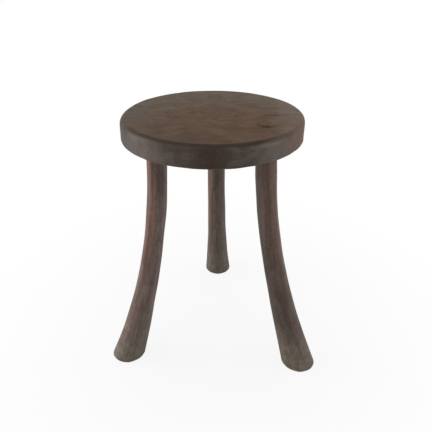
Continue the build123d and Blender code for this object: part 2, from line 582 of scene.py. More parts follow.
def rim_waves(bearing):
    """How far the plank is out of round: a slight oval, fuller at the left, and knife waves."""
    waves = sum(share * np.sin(count * bearing + start) for count, start, share in KNIFE_WAVES)
    fuller_left = FULLER * np.cos(bearing - FULLER_BEARING)
    return OVAL * np.cos(2 * bearing + OVAL_TURN) + fuller_left + EDGE_WAVE * waves


def edge_radius(bearing, height):
    """Radius of the plank's edge: its widest, less the lean of the edge, with the waves."""
    return SEAT_RADIUS - (height - UNDERSIDE) * math.tan(EDGE_LEAN) + rim_waves(bearing)


def top_rounding(bearing):
    """Radius of the upper arris, worn roundest at the front left and least across from there."""
    waves = ROUNDING_WAVE * np.sin(ROUNDING_WAVES * bearing)
    return TOP_ROUNDING * (1 + waves - ROUNDER_SHARE * np.cos(bearing - ROUNDER_ACROSS))


def face_inset(bearing):
    """From the foot of the edge in to where the flat face begins."""
    return SEAT_RADIUS + rim_waves(bearing) - edge_radius(bearing, FACE) + top_rounding(bearing)


out_of_round = rim_waves(np.linspace(0, 2 * np.pi, 361))
print("Out of round, mm:", round(out_of_round.min() / MM, 2), "to", round(out_of_round.max() / MM, 2))

# %% [markdown]
# The plank has three round sockets, and a face with holes doesn't fit one plain grid. Filling
# the outline would give faces too large to follow the dish. So it is cut, like a cake, into
# three slices with one socket each. In a slice, rays run from the socket's rim to the slice's
# outline, which is an arc of the edge and two straight cuts to the middle. Rows step along the
# rays and columns go round the outline.

# %% Slices of a face
ARC_CELLS, CUT_CELLS = 150, 66
CROWDING = 1.7  # power by which rows crowd towards a socket


def slice_bearings():
    """Each slice reaches halfway to the next leg's bearing on both sides."""
    order = sorted(LEGS, key=lambda name: LEGS[name]["bearing"] % (2 * math.pi))
    bearings = [LEGS[name]["bearing"] % (2 * math.pi) for name in order]
    before = [bearings[-1] - 2 * math.pi] + bearings[:-1]
    after = bearings[1:] + [bearings[0] + 2 * math.pi]
    return {
        name: ((early + own) / 2, (own + late) / 2)
        for name, early, own, late in zip(order, before, bearings, after)
    }


SLICES = slice_bearings()


def slice_outline(leg, inset):
    """Closed outline of a slice: along the arc, in to the seat's middle and out again."""
    arc = np.linspace(*SLICES[leg["name"]], ARC_CELLS + 1)
    radius = SEAT_RADIUS + rim_waves(arc) - inset(arc)
    rim = np.stack([radius * np.cos(arc), radius * np.sin(arc)], axis=-1)
    share = np.linspace(0, 1, CUT_CELLS + 1)[1:, None]
    return arc, np.concatenate([rim, rim[-1] * (1 - share), rim[0] * share])


def face_slice(leg, outline, level, height, rows):
    """Sheet from a socket's rim to a slice's outline. Rows crowd towards the socket."""
    middle = np.array(tenon_middle(leg, level))
    ray = outline - middle
    ray = ray / np.linalg.norm(ray, axis=1, keepdims=True)
    hole = middle + ray * (tenon_radius(level) + HAIRLINE)
    share = (np.linspace(0, 1, rows + 1) ** CROWDING)[:, None, None]
    plan = hole + share * (outline - hole)
    return np.concatenate([plan, height(plan[..., 0], plan[..., 1])[..., None]], axis=-1)


cuts = {name: [round(math.degrees(cut)) for cut in pair] for name, pair in SLICES.items()}
print("Bearings of the cuts beside each leg:", cuts)

# %% [markdown]
# The edge of a slice is one more sheet: a quarter-round, the leaning wall and a smaller
# quarter-round. The slices share the points along their cuts, so welding leaves no seam.

# %% Make the seat
FACE_ROWS, UNDER_ROWS, WALL_ROWS, CURVE_ROWS, SOCKET_ROWS = 52, 14, 10, 8, 4
WALL_WAVE, WALL_WAVE_LENGTH = 0.25 * MM, 22 * MM


def eased_face(leg):
    """The sitting face with the socket's edge worn down a little, next to its rim."""

    def height(x, y):
        away = np.clip(from_rim(leg, x, y, FACE), 0, None)
        return face_height(x, y) - SOCKET_EASE * np.exp(-away / SOCKET_EASE_WIDTH)

    return height


def edge_band(arc, face_rim, under_rim_plan, face_z, under_z):
    """The plank's edge over one arc: upper quarter-round, leaning wall, lower quarter-round.

    Each quarter-round is an ellipse that starts flat on its face and ends on the leaning wall.
    """
    upper, lower = top_rounding(arc), BOTTOM_ROUNDING
    quarter = np.linspace(0, np.pi / 2, CURVE_ROWS + 1)[:, None]
    share = np.linspace(0, 1, WALL_ROWS + 1)[1:-1, None]
    wall_top, wall_bottom = face_z - upper, under_z + lower
    flat_rim, under_rim = np.hypot(*face_rim), np.hypot(*under_rim_plan)
    top_out = edge_radius(arc, wall_top) - flat_rim
    bottom_out = edge_radius(arc, wall_bottom) - under_rim
    wall_height = wall_top + share * (wall_bottom - wall_top)
    radius = np.concatenate([
        flat_rim + top_out * np.sin(quarter),
        edge_radius(arc, wall_height),
        under_rim + bottom_out * np.cos(quarter),
    ])
    height = np.concatenate([
        wall_top + upper * np.cos(quarter),
        wall_height,
        wall_bottom - lower * np.sin(quarter),
    ])
    ends = np.clip((face_z - height) / upper, 0, 1) * np.clip((height - under_z) / lower, 0, 1)
    place = np.stack([radius * np.cos(arc), radius * np.sin(arc), height], axis=-1)
    radius = radius + ends * WALL_WAVE * ripple(place, WALL_WAVE_LENGTH, seed=6)
    return np.stack([radius * np.cos(arc), radius * np.sin(arc), height], axis=-1)


def seat_slice(leg):
    """All sheets of one slice: face, edge, underside and the wall of its socket."""
    arc, top_outline = slice_outline(leg, face_inset)
    _, under_outline = slice_outline(leg, lambda bearing: BOTTOM_ROUNDING)
    face = face_slice(leg, top_outline, FACE, eased_face(leg), FACE_ROWS)
    under = face_slice(leg, under_outline, UNDERSIDE, under_height, UNDER_ROWS)
    rim, under_rim = face[-1, : len(arc)].T, under[-1, : len(arc)].T
    band = edge_band(arc, rim[:2], under_rim[:2], rim[2], under_rim[2])
    share = np.linspace(0, 1, SOCKET_ROWS + 1)[:, None, None]
    socket = face[0] + share * (under[0] - face[0])
    return [face, band, under, socket]


seat_piece = make_piece("seat_plank", [sheet for leg in LEGS.values() for sheet in seat_slice(leg)])

# %% [markdown]
# ## Materials
#
# Colours are written as sRGB hex values, as a paint card gives them, and one function turns
# them to the linear values that the shaders need. A second one adds a node with its settings
# and links. A third lays tones over one another, so that each material below reads as a list
# of layers, the lowest first. A bare length in a wood is in millimetres, in which the width of
# a fibre or a pore is easy to read, and a length in metres is written with MM.

# %% Colour and node helpers
def linear(hex_colour):
    """sRGB hex to linear RGBA, by the sRGB curve."""
    channels = np.array([int(hex_colour[i : i + 2], 16) / 255 for i in (1, 3, 5)])
    curve = np.where(channels <= 0.04045, channels / 12.92, ((channels + 0.055) / 1.055) ** 2.4)
    return (*curve.tolist(), 1.0)


def add(tree, kind, inputs=None, output=0, **settings):
    """Adds a shader node with its settings, links or sets its inputs, and gives one output."""
    node = tree.nodes.new("ShaderNode" + kind)
    for name, value in settings.items():
        setattr(node, name, value)
    for name, value in (inputs or {}).items():
        if isinstance(value, bpy.types.NodeSocket):
            tree.links.new(value, node.inputs[name])
        else:
            node.inputs[name].default_value = value
    return node.outputs[output] if node.outputs else node


# Sockets of a Mix node that mixes colours, which go by number.
SHARE, FIRST, SECOND, MIXED = 0, 6, 7, 2
COLOURS = {"output": MIXED, "data_type": "RGBA"}
SMOOTH = {"interpolation_type": "SMOOTHSTEP"}


def lay_over(tree, base, layers):
    """Lays tones over a base one by one, each by a value from 0 to 1 times its strength."""
    for value, strength, tone in layers:
        share = add(tree, "Math", {0: value, 1: strength}, operation="MULTIPLY")
        base = add(tree, "Mix", {SHARE: share, FIRST: base, SECOND: linear(tone)}, **COLOURS)
    return base


def new_material(name):
    """A material with an empty node tree."""
    material = bpy.data.materials.new(name)
    material.use_nodes = True
    material.node_tree.nodes.clear()
    return material, material.node_tree


print("Mid brown, linear:", np.round(linear("#66523f"), 3))

# %% [markdown]
# The wood is a dense, dark African hardwood, oiled by hands and rubbed for years. The eye
# gets four things from it. Growth rings, cut along their length, give long soft lines that
# close into loops where the saw only just grazed them. Fibres give finer streaks, and pores
# give short dark dashes. Over them lies a patina: warm brown where it is polished, greyer
# where dust and wax have gathered and, in part, as a painted sheen, and a painted shade where
# the face turns over into the edge. It is the lowest layer here, because the dark figure shows
# through it. An image wrapped round each piece could show all this, but it would have seams.
# The figure is drawn through the solid instead, so end grain appears by itself wherever the
# wood is cut across.

# %% The figure of a hardwood
WAVE_UNIT = math.pi / 10  # the wave texture's own length at scale 1
STREAK_WIDTH, STREAK_LENGTH = 6.0, 55.0
PORE_WIDTH, PORE_LENGTH = 0.9, 9.0  # real pores are finer, drawn coarser to be seen


def figure(tree, place, ring_width, warp_length, warp_width, warp_depth):
    """Growth rings, streaks and pores round the X axis of a place given in millimetres.

    Returns the place after its fibres wandered, then three values from 0 to 1. Each noise is
    stretched along the grain: places are divided by its length along the grain and by its
    width across it, before the noise is looked up.
    """
    across = (1 / warp_length, 1 / warp_width, 1 / warp_width)
    drawn_out = add(tree, "Mapping", {"Vector": place, "Scale": across})
    wander = add(tree, "TexNoise", {"Vector": drawn_out, "Scale": 1.0, "Detail": 2.0}, output=1)
    centred = add(tree, "VectorMath", {0: wander, 1: (0.5, 0.5, 0.5)}, operation="SUBTRACT")
    shift = add(tree, "VectorMath", {0: centred, "Scale": warp_depth}, operation="SCALE")
    bent = add(tree, "VectorMath", {0: place, 1: shift}, operation="ADD")
    rings = add(
        tree, "TexWave",
        {"Vector": bent, "Scale": WAVE_UNIT / ring_width, "Distortion": 0.8, "Detail": 3.0,
         "Detail Scale": 0.5, "Detail Roughness": 0.6},
        output=1, wave_type="RINGS", rings_direction="X", wave_profile="SAW",
    )
    fine = (1 / STREAK_LENGTH, 1 / STREAK_WIDTH, 1 / STREAK_WIDTH)
    streak_place = add(tree, "Mapping", {"Vector": bent, "Scale": fine})
    streak_noise = add(
        tree, "TexNoise", {"Vector": streak_place, "Scale": 1.0, "Detail": 6.0, "Roughness": 0.68}
    )
    streaks = add(tree, "MapRange", {"Value": streak_noise, "From Min": 0.36, "From Max": 0.66}, **SMOOTH)
    short = (1 / PORE_LENGTH, 1 / PORE_WIDTH, 1 / PORE_WIDTH)
    pore_place = add(tree, "Mapping", {"Vector": bent, "Scale": short})
    pore_noise = add(tree, "TexNoise", {"Vector": pore_place, "Scale": 1.0, "Detail": 1.0})
    pores = add(tree, "MapRange", {"Value": pore_noise, "From Min": 0.58, "From Max": 0.72}, **SMOOTH)
    return bent, rings, streaks, pores


def mottle(tree, place, size, low, high):
    """Soft patches of a size in millimetres: noise, pulled out to 0 and 1 between two levels."""
    noise = add(
        tree, "TexNoise", {"Vector": place, "Scale": 1 / size, "Detail": 3.0, "Roughness": 0.55}
    )
    return add(tree, "MapRange", {"Value": noise, "From Min": low, "From Max": high}, **SMOOTH)


def in_millimetres(tree):
    """Object coordinates, which lie in metres, times a thousand."""
    place = add(tree, "TexCoord", output=3)
    return add(tree, "VectorMath", {0: place, "Scale": 1 / MM}, operation="SCALE")


def grain_bump(tree, streaks, pores, depth):
    """A normal from a relief: 0.4 of the fibres' streaks, which stand up, less 0.7 of the pores."""
    fibres = add(tree, "Math", {0: streaks, 1: 0.4}, operation="MULTIPLY")
    height = add(tree, "Math", {0: pores, 1: -0.7, 2: fibres}, operation="MULTIPLY_ADD")
    return add(tree, "Bump", {"Height": height, "Strength": 0.7, "Distance": depth})


print("Streaks, mm:", STREAK_LENGTH, "by", STREAK_WIDTH, "and pores:", PORE_LENGTH, "by", PORE_WIDTH)

# %% [markdown]
# The sitting face has one patina over everything that ends in it: the plank, the tenons and
# the wedges. That is why the joints hardly show. So its colour is a function of its own, and
# all three woods use it near the top. It is warmest a little in front of the middle, where
# people sit, and turns greyer towards the back and the sides, partly where the rubbing stops
# and partly as a painted sheen. The right-hand end is the palest, partly dry and partly a
# painted highlight, the left-hand end is the greyest, partly a painted sheen, and a darker
# patch lies near the front rim, left of the middle. All this could be painted on by hand. Here
# each thing is a fade or an oval mark, so that one number moves it or makes it larger.

# %% Patina of the sitting face
SPECULAR = 0.12  # old oil and wax are duller than a varnish, whose level is 0.5
RUBBED_SPOT = (15.0, -60.0, 0.0)
# Greyer outwards from the rubbed spot, in part as a painted sheen.
RUBBED_WITHIN, UNRUBBED_AND_SHEEN_FROM = 60.0, 170.0  # mm from the rubbed spot
WHOLE_DEPTH = 50.0  # deeper than the plank is thick
MARK_FADE = 3.0  # above and below its depth, over which a mark ends
# A fade is where along X it begins and where it is whole, its strength and its colour.
# The palest right-hand end is in part a painted highlight.
FACE_FADES = [(80.0, 135.0, 0.5, "#7f7062")]
# A mark is its middle, half its length along X, half its width, its depth, its strength and
# its colour.
FACE_MARKS = [
    ((-30.0, -130.0), 62.0, 38.0, WHOLE_DEPTH, 0.55, "#33251b"),
    # The grey of the left-hand end is in part a painted sheen.
    ((-152.0, 0.0), 48.0, 110.0, WHOLE_DEPTH, 0.8, "#5a5552"),
]


def level_distance(tree, mm, spot):
    """Distance of a place from an upright line through a spot, in millimetres."""
    offset = add(tree, "VectorMath", {0: mm, 1: spot}, operation="SUBTRACT")
    level = add(tree, "VectorMath", {0: offset, 1: (1, 1, 0)}, operation="MULTIPLY")
    return add(tree, "VectorMath", {0: level}, output=1, operation="LENGTH")


def oval_spot(tree, mm, middle, half_length, half_width):
    """1 in the middle of an oval on the face and 0 at its outline and beyond."""
    near = add(
        tree, "Mapping",
        {"Vector": mm, "Location": (-middle[0] / half_length, -middle[1] / half_width, 0),
         "Scale": (1 / half_length, 1 / half_width, 0)},
    )
    away = add(tree, "VectorMath", {0: near}, output=1, operation="LENGTH")
    return add(tree, "MapRange", {"Value": away, "From Min": 1.0, "From Max": 0.0}, **SMOOTH)


def add_fades(tree, mm, base, fades):
    """Lays tones over a base that grow along X, from where they begin to where they are whole."""
    along = add(tree, "SeparateXYZ", {0: mm}, output=0)
    for begins, whole, strength, tone in fades:
        share = add(tree, "MapRange", {"Value": along, "From Min": begins, "From Max": whole}, **SMOOTH)
        base = lay_over(tree, base, [(share, strength, tone)])
    return base


def add_marks(tree, mm, base, marks):
    """Lays oval marks over a base, each strongest in its middle and gone below its depth."""
    height = add(tree, "SeparateXYZ", {0: mm}, output=2)
    for middle, half_length, half_width, depth, strength, tone in marks:
        spot = oval_spot(tree, mm, middle, half_length, half_width)
        fade = {"From Min": -depth - MARK_FADE, "From Max": -depth + MARK_FADE}
        above = add(tree, "MapRange", {"Value": height, **fade}, **SMOOTH)
        share = add(tree, "Math", {0: spot, 1: above}, operation="MULTIPLY")
        base = lay_over(tree, base, [(share, strength, tone)])
    return base


def face_patina(tree, mm):
    """Two warm browns in patches of some 45 mm, greyer away from the rubbed spot, partly painted sheen."""
    patches = mottle(tree, mm, size=45, low=0.36, high=0.64)
    away = level_distance(tree, mm, RUBBED_SPOT)
    outwards = add(
        tree, "MapRange", {"Value": away, "From Min": RUBBED_WITHIN, "From Max": UNRUBBED_AND_SHEEN_FROM}, **SMOOTH
    )
    brown = lay_over(
        tree, linear("#553c24"), [(patches, 1.0, "#60452a"), (outwards, 0.8, "#625546")]
    )
    return add_marks(tree, mm, add_fades(tree, mm, brown, FACE_FADES), FACE_MARKS)


print("Fades and marks on the face:", len(FACE_FADES), len(FACE_MARKS))

# %% [markdown]
# The seat is one flat-sawn plank, so the rings' centre lies below it. In the middle the rings
# only just touch the face and close into long loops, and towards the front and back they
# cross it as lines that crowd together. Near the middle the fibres also curl, with short dark
# flecks along them, and near the right-hand leg they part round a small knot. Knot and curl
# are made by moving the place at which the figure is looked up. The flecks and the shade
# beside the knot are tones of their own.

# %% Knot, curl and flecks
KNOT = (97.0, 0.0, 0.0)
KNOT_HALF_LENGTH, KNOT_HALF_WIDTH, KNOT_LIFT = 24.0, 18.0, 7.0
SHADE_LENGTHENED = 1.1  # how much longer than the knot the oval behind it is
CURL_SPOT = (-25.0, 15.0, 0.0)
CURL_REACH, CURL_LENGTH, CURL_DEPTH = 105.0, 26.0, 26.0
FLECK_LENGTH, FLECK_WIDTH = 9.0, 5.0
FLECK_SPOT, FLECK_REACH = (0.0, -5.0), 105.0


def round_the_knot(tree, mm, plank):
    """Lifts the rings under the knot, and gives the crescent of dark wood on its near side.

    The crescent is the knot's own oval less a slightly longer one, which is set back by a sixth
    of the knot's width.
    """
    inside = oval_spot(tree, mm, KNOT, KNOT_HALF_LENGTH, KNOT_HALF_WIDTH)
    set_back = (KNOT[0], KNOT[1] + KNOT_HALF_WIDTH / 3)
    behind = oval_spot(tree, mm, set_back, KNOT_HALF_LENGTH * SHADE_LENGTHENED, KNOT_HALF_WIDTH)
    apart = add(tree, "Math", {0: inside, 1: behind}, operation="SUBTRACT")
    crescent = add(tree, "MapRange", {"Value": apart, "From Min": 0.06, "From Max": 0.3}, **SMOOTH)
    lifted = add(tree, "VectorMath", {0: (0, 0, KNOT_LIFT), 1: inside, 2: plank}, operation="MULTIPLY_ADD")
    return lifted, crescent


def curl_the_grain(tree, mm, plank):
    """Moves a place by noise of some 26 mm, by most near the middle, so that the fibres curl."""
    noise = add(tree, "TexNoise", {"Vector": mm, "Scale": 1 / CURL_LENGTH, "Detail": 1.0}, output=1)
    centred = add(tree, "VectorMath", {0: noise, 1: (0.5, 0.5, 0.5)}, operation="SUBTRACT")
    away = level_distance(tree, mm, CURL_SPOT)
    inwards = {"From Min": CURL_REACH, "From Max": CURL_REACH / 3, "To Max": CURL_DEPTH}
    depth = add(tree, "MapRange", {"Value": away, **inwards}, **SMOOTH)
    return add(tree, "VectorMath", {0: centred, 1: depth, 2: plank}, operation="MULTIPLY_ADD")


def flecks(tree, mm, curled):
    """Short dark strokes of some 9 by 5 mm that follow the curled fibres near the middle."""
    stroke = (1 / FLECK_LENGTH, 1 / FLECK_WIDTH, 1 / FLECK_WIDTH)
    place = add(tree, "Mapping", {"Vector": curled, "Scale": stroke})
    noise = add(tree, "TexNoise", {"Vector": place, "Scale": 1.0, "Detail": 1.0})
    dark = add(tree, "MapRange", {"Value": noise, "From Min": 0.54, "From Max": 0.68}, **SMOOTH)
    near = oval_spot(tree, mm, FLECK_SPOT, FLECK_REACH, FLECK_REACH)
    return add(tree, "Math", {0: dark, 1: near}, operation="MULTIPLY")


print("Knot, mm across:", 2 * KNOT_HALF_LENGTH, "by", 2 * KNOT_HALF_WIDTH)

# %% [markdown]
# The edge of the seat was never rubbed as the face was. It is greyer, with redder wood where
# it was knocked and with scratches that run level. Both flanks are painted paler than the
# front: painted light, for the flanks face the side lamps and the front faces the viewer,
# where there is none. The right-hand end, where the stool is picked up, is warmer, and the
# left-hand end is sooty from the hearth. Three marks of painted light lie on it: painted shade
# down the middle of the front, a smaller painted shade at the top, left of it, and a painted
# highlight on the turn at the right.

# %% Colour of the seat's edge
SCRATCH_FLATNESS = 9  # how many times as long as it is high a scratch is
EDGE_FADES = [
    # The first two fades are painted light: both flanks paler than the front.
    (-50.0, -95.0, 0.42, "#7a6e66"),
    (56.0, 94.0, 0.63, "#7a6e66"),
    (108.0, 136.0, 0.9, "#6a5246"),
    (-100.0, -140.0, 0.9, "#3f3935"),
]
EDGE_SHADE_AND_HIGHLIGHT_MARKS = [
    # painted shade down the middle of the front
    ((6.0, -150.0), 44.0, 60.0, WHOLE_DEPTH, 0.75, "#43332e"),
    # painted shade at the top of the edge, left of it
    ((-38.0, -144.0), 34.0, 60.0, 12.0, 0.4, "#43332e"),
    # painted highlight on the turn at the right
    ((90.0, -121.0), 40.0, 60.0, 9.0, 0.4, "#9b8e84"),
]


def edge_colour(tree, mm):
    """Grey-brown in patches of 14 mm, with redder ones of 22 mm, scratches, fades and marks."""
    scuffs = mottle(tree, mm, size=14, low=0.35, high=0.7)
    rubbed = mottle(tree, mm, size=22, low=0.54, high=0.74)
    flat_place = add(tree, "Mapping", {"Vector": mm, "Scale": (1, 1, SCRATCH_FLATNESS)})
    scratches = mottle(tree, flat_place, size=26, low=0.56, high=0.72)
    wood = lay_over(tree, linear("#544b45"), [
        (scuffs, 1.0, "#655c56"),
        (rubbed, 1.0, "#63504a"),
        (scratches, 0.55, "#4a3c36"),
    ])
    return add_marks(tree, mm, add_fades(tree, mm, wood, EDGE_FADES), EDGE_SHADE_AND_HIGHLIGHT_MARKS)


print("Fades and marks on the edge:", len(EDGE_FADES), len(EDGE_SHADE_AND_HIGHLIGHT_MARKS))

# %% [markdown]
# A dark line is painted where the face turns over into the edge, at the front and the back.
# It is painted shade: the rounded edge tips towards the viewer and mirrors none of the white
# room. It is gone at both ends of the seat, grows fainter to the left and to the right, and at
# the front it is fainter a little right of the middle. The line is a product of fades, and
# each fade says one of these things.

# %% Dark line round the face
LINE_MIDDLE = (2.0, 0.0, 0.0)
LINE_OVAL = (0.973, 1.0, 0.0)  # places are drawn in along X, so the ring is longer along it
LINE_STARTS, LINE_FULL, LINE_THINS, LINE_ENDS = 139.5, 142.5, 145.5, 149.0  # mm from there
LINE_FAINTER, FAINTER_HALF_LENGTH, FAINTER_HALF_WIDTH = (40.0, -140.0), 34.0, 60.0
LEFT_WHERE_FAINTER = 0.8


def painted_shade_line(tree, mm):
    """Share of painted shade: the product of the fades, less where the line is fainter."""
    along, across, height = add(tree, "SeparateXYZ", {0: mm}).node.outputs
    depth = add(tree, "Math", {0: across}, operation="ABSOLUTE")
    drawn_in = add(tree, "VectorMath", {0: mm, 1: LINE_OVAL}, operation="MULTIPLY")
    from_middle = level_distance(tree, drawn_in, LINE_MIDDLE)
    # What a fade goes by, where it begins and ends, and the shares of painted shade at both.
    fades = [
        (from_middle, LINE_STARTS, LINE_FULL, 0.0, 1.0),
        (from_middle, LINE_THINS, LINE_ENDS, 0.9, 0.0),
        (depth, 62.0, 100.0, 0.0, 1.0),  # gone at both ends of the seat
        (along, 0.0, -45.0, 1.0, 0.64),  # fainter to the left
        (along, 60.0, 115.0, 1.0, 0.5),  # fainter to the right
        (height, -9.0, -3.0, 0.0, 1.0),  # on the turn, but not on the wall below it
    ]
    # The painted shade is fainter in this oval, a little right of the middle of the front.
    worn = oval_spot(tree, mm, LINE_FAINTER, FAINTER_HALF_LENGTH, FAINTER_HALF_WIDTH)
    painted_shade = add(tree, "MapRange", {"Value": worn, "To Min": 1.0, "To Max": LEFT_WHERE_FAINTER})
    for measure, begins, ends, first, last in fades:
        span = {"From Min": begins, "From Max": ends, "To Min": first, "To Max": last}
        share = add(tree, "MapRange", {"Value": measure, **span}, **SMOOTH)
        painted_shade = add(tree, "Math", {0: painted_shade, 1: share}, operation="MULTIPLY")
    return painted_shade


print("Length of the line's ring along X, mm:", round(2 * LINE_FULL / LINE_OVAL[0]))

# %% [markdown]
# Now the layers of the seat are put together: the colour of the face or of the edge, bare wood
# below, the painted shade of the dark line, and over them the figure. The figure is faint on
# the edge, where it is clogged with dust.

# %% Seat wood
HEART = (0, 14, -58)  # centre of the rings, in mm from the middle of the face
HEART_TURN = math.radians(-3)  # brings the grain, which lies 3 degrees off, onto X
RING_WIDTH = 3.6  # mm from one growth ring to the next
TURN_BEGINS, TURN_ENDS = 143.5, 149.5  # mm from the axis, where face gives way to edge
BARE_BEGINS, BARE_WHOLE = 2.2, 0.8  # mm above the underside, which was never oiled
CLOGGED = 0.35  # how clearly the figure shows on the edge


def seat_wood():
    """Oiled hardwood, sawn flat and rubbed by hands, which gives it a soft, uneven sheen."""
    material, tree = new_material("oiled_hardwood_seat")
    mm = in_millimetres(tree)
    to_heart = tuple(-part for part in HEART)
    plank = add(tree, "Mapping", {"Vector": mm, "Location": to_heart, "Rotation": (0, 0, HEART_TURN)})
    lifted, crescent = round_the_knot(tree, mm, plank)
    curled = curl_the_grain(tree, mm, lifted)
    _, *grain = figure(tree, curled, RING_WIDTH, warp_length=120, warp_width=45, warp_depth=14)
    from_axis = level_distance(tree, mm, (0, 0, 0))
    turned = add(
        tree, "MapRange", {"Value": from_axis, "From Min": TURN_BEGINS, "From Max": TURN_ENDS}, **SMOOTH
    )
    face, edge = face_patina(tree, mm), edge_colour(tree, mm)
    coat = add(tree, "Mix", {SHARE: turned, FIRST: face, SECOND: edge}, **COLOURS)
    height = add(tree, "SeparateXYZ", {0: mm}, output=2)
    low = UNDERSIDE / MM
    bare = add(
        tree, "MapRange", {"Value": height, "From Min": low + BARE_BEGINS, "From Max": low + BARE_WHOLE}
    )
    clear = add(tree, "MapRange", {"Value": turned, "To Min": 1.0, "To Max": CLOGGED})
    rings, streaks, pores = [
        add(tree, "Math", {0: value, 1: clear}, operation="MULTIPLY") for value in grain
    ]
    colour = lay_over(tree, coat, [
        (bare, 0.8, "#6b5a4c"),
        # painted shade: the dark line where the face turns over into the edge
        (painted_shade_line(tree, mm), 1.0, "#2c211a"),
        (rings, 0.3, "#2f2219"),
        (streaks, 0.35, "#2c2018"),
        (flecks(tree, mm, curled), 0.6, "#33231a"),
        (crescent, 0.55, "#2a1f17"),
        (pores, 0.5, "#1d1511"),
    ])
    polish = mottle(tree, mm, size=30, low=0.35, high=0.65)
    rough = add(tree, "MapRange", {"Value": polish, "To Min": 0.55, "To Max": 0.65})
    shader = add(
        tree, "BsdfPrincipled",
        {"Base Color": colour, "Roughness": rough, "Specular IOR Level": SPECULAR,
         "Normal": grain_bump(tree, streaks, pores, depth=0.25 * MM)},
    )
    add(tree, "OutputMaterial", {"Surface": shader})
    return material


seat_finish = seat_wood()
print(seat_finish.name, "nodes:", len(seat_finish.node_tree.nodes))

# %% [markdown]
# The legs are redder, and each was made from a small trunk, so its rings close round its own
# middle. Drawn on the real places, their figure would run straight up through the bend, so it
# is drawn on the straight coordinates, and bends with the leg. Every billet has its own tone.
# One side of a leg, mostly the outward one, is rubbed to its red, which fades towards the
# foot, in part as painted shade where the lower flanks take less light from the sides, and the
# other side stays greyer. The front-left leg's grey is paler, in part as painted light on its
# side away from the left-hand lamp. The club feet are a grey tan, from dust and from being
# pushed about. The end of the tenon has the patina of the face, a little greyer on the two
# front legs, and the side of the proud one is painted paler: painted light on a side that
# faces no lamp.

# %% Leg wood
LEG_RING_WIDTH = 2.4
LEG_SPECULAR = 0.07  # the legs are rubbed less often than the seat, and are duller still
BAND_LENGTH, BAND_WIDTH = 150.0, 11.0
RUBBED_FROM, RUBBED_WHOLE = -8 * MM, 9 * MM  # from the leg's middle towards its reddest side
# The red fades between these heights, in part as painted shade on the lower flanks.
RED_STARTS, RED_ENDS, RED_BELOW = -190.0, -330.0, 0.35  # heights, and the share left below
DUST_TOP, DUST_WHOLE = 120.0, 5.0  # mm above the floor
END_BEGINS, END_WHOLE = -3.5, -1.0  # heights between which the tenon takes the face's patina
# Heights over which the painted light on the proud tenon's side begins and over which it ends.
SIDE_BEGINS = {"From Min": 0.15, "From Max": 0.4}
SIDE_ENDS = {"From Min": 2.0, "From Max": 1.0}
# turn is how far the reddest side lies round from the outward one, in degrees, and grey_end is
# how much greyer than the face the tenon's end is.
BILLETS = {
    "rear": {"turn": 70, "red": "#7f675c", "grey": "#746860", "foot": "#787069", "grey_end": 0.0},
    "front_right": {"turn": 0, "red": "#867066", "grey": "#645a54", "foot": "#8a7e73", "grey_end": 0.2},
    # The front-left grey is paler, in part as painted light on the side away from the left lamp.
    "front_left": {"turn": -25, "red": "#8e7165", "grey": "#86766f", "foot": "#837a70", "grey_end": 0.25},
}


def side_colour(tree, mm, straight, bent, dusty, tones):
    """A billet's grey, with its red on one side, dark bands along it and dust on its foot."""
    height = add(tree, "SeparateXYZ", {0: mm}, output=2)
    turn = math.radians(tones["turn"])
    reddest = (math.cos(turn), math.sin(turn), 0)
    towards = add(tree, "VectorMath", {0: straight, 1: reddest}, output=1, operation="DOT_PRODUCT")
    rubbed = add(
        tree, "MapRange", {"Value": towards, "From Min": RUBBED_FROM, "From Max": RUBBED_WHOLE}, **SMOOTH
    )
    # The red fades towards the foot, in part as painted shade.
    fade = {"From Min": RED_ENDS, "From Max": RED_STARTS, "To Min": RED_BELOW}
    in_reach = add(tree, "MapRange", {"Value": height, **fade}, **SMOOTH)
    red_share = add(tree, "Math", {0: rubbed, 1: in_reach}, operation="MULTIPLY")
    long_bands = (1 / BAND_LENGTH, 1 / BAND_WIDTH, 1 / BAND_WIDTH)
    band_place = add(tree, "Mapping", {"Vector": bent, "Scale": long_bands})
    band_noise = add(tree, "TexNoise", {"Vector": band_place, "Scale": 1.0, "Detail": 2.0})
    bands = add(tree, "MapRange", {"Value": band_noise, "From Min": 0.38, "From Max": 0.62}, **SMOOTH)
    dust = mottle(tree, mm, size=12, low=0.4, high=0.7)
    specks = add(tree, "Math", {0: dust, 1: dusty}, operation="MULTIPLY")
    return lay_over(tree, linear(tones["grey"]), [
        (red_share, 1.0, tones["red"]),
        (bands, 0.25, "#3d2c25"),
        (dusty, 1.0, tones["foot"]),
        (specks, 0.35, "#a09686"),
    ])


